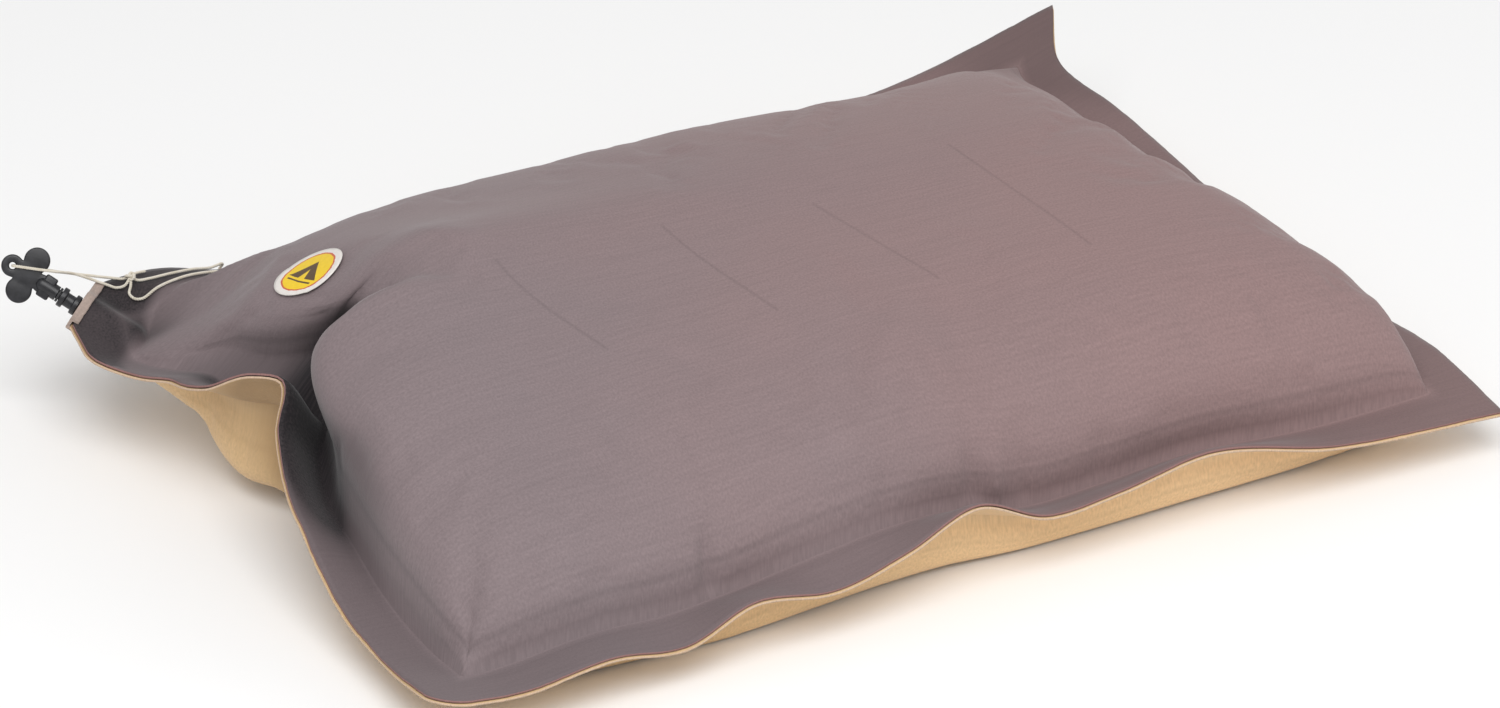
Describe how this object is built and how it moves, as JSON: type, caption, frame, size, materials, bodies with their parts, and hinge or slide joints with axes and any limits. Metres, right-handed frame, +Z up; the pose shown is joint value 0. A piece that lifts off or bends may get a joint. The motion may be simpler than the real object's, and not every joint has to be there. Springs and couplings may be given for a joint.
{
  "type": "camp pillow",
  "caption": "Inflated rectangular air pillow of rubberised cloth with a flat bonded rim, inner ties and a corner screw-plug valve whose plug hangs on a string.",
  "frame": {"origin": "on the supporting surface, under the middle of the pillow", "axes": "+X along the long side, +Y towards the side with the valve, +Z up through the grey panel"},
  "size_m": [0.4727, 0.3143, 0.1027],
  "materials": {
    "grey_cloth": "matt rubberised cloth",
    "tan_cloth": "matt rubberised cloth",
    "tie_cloth": "matt rubberised cloth",
    "binding_tape": "matt bonded tape",
    "black_plastic": "gloss moulded",
    "black_rubber": "matt",
    "cotton_string": "twisted cotton",
    "label_film": "satin printed film"
  },
  "bodies": {
    "pillow": {"top_panel": "grey_cloth", "bottom_panel": "tan_cloth", "tie_1": "tie_cloth", "tie_2": "tie_cloth", "tie_3": "tie_cloth", "tie_4": "tie_cloth", "valve_neck": "black_plastic", "valve_boot": "black_rubber", "corner_binding": "binding_tape", "round_label": "label_film", "string_knot": "cotton_string", "string_to_key": "cotton_string", "string_to_rim": "cotton_string"},
    "seal_washer": {"plug_seal": "black_rubber"},
    "plug": {"plug_key": "black_plastic"}
  },
  "joints": [
    {"name": "plug_lift", "type": "slide", "parent": "pillow", "child": "seal_washer", "axis": [-0.6184, 0.6184, 0.4848], "range_m": [0, 0.006], "deforming": ["string_to_key"]},
    {"name": "key_turn", "type": "hinge", "parent": "seal_washer", "child": "plug", "pos_m": [-0.21897, 0.13803, 0.046], "axis": [-0.6184, 0.6184, 0.4848], "range_deg": [0, 720], "deforming": ["string_to_key"]}
  ],
  "couplings": [
    {"joint": "key_turn", "follows": "plug_lift", "rad_per_m": 2094.4}
  ]
}
